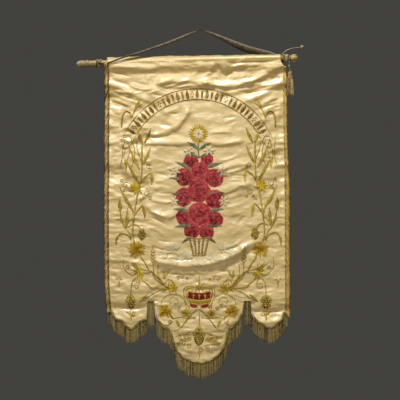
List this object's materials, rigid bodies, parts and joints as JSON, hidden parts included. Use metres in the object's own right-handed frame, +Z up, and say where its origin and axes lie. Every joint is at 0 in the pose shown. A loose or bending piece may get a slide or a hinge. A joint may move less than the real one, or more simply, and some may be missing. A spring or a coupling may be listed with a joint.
{
  "type": "church banner on its pole",
  "caption": "Satin church banner with a lobed, fringed hem, hanging from a turned wooden pole by a flat tape, with side bands, a tassel and a beaded pin.",
  "frame": {"origin": "where the hanging tape goes over its nail, at the top of the whole", "axes": "+Z up, the banner's front faces -Y, +X is to the right as seen from the front"},
  "size_m": [1.0018, 0.0626, 1.5386],
  "materials": {
    "satin": "cream silk satin with creases and gold embroidery",
    "fringe_thread": "tarnished gold thread",
    "gold_braid": "gold-brown twisted thread",
    "turned_wood": "old varnish",
    "tape_web": "grey-brown woven tape",
    "cord_thread": "twisted cord",
    "gilt": "worn gilt"
  },
  "bodies": {
    "root": {"banner_cloth": "satin", "rod": "turned_wood", "finial_left": "turned_wood", "finial_right": "turned_wood", "winding_left": "cord_thread", "winding_right": "cord_thread", "hanging_tape": "tape_web", "side_trim_left": "gold_braid", "side_trim_right": "gold_braid", "fringe_left": "fringe_thread", "fringe_centre": "fringe_thread", "fringe_right": "fringe_thread", "fringe_slit_left": "fringe_thread", "fringe_slit_right": "fringe_thread", "pin": "gilt", "pin_bead": "gilt", "tassel_cord": "cord_thread", "tassel": "gold_braid"}
  },
  "joints": []
}
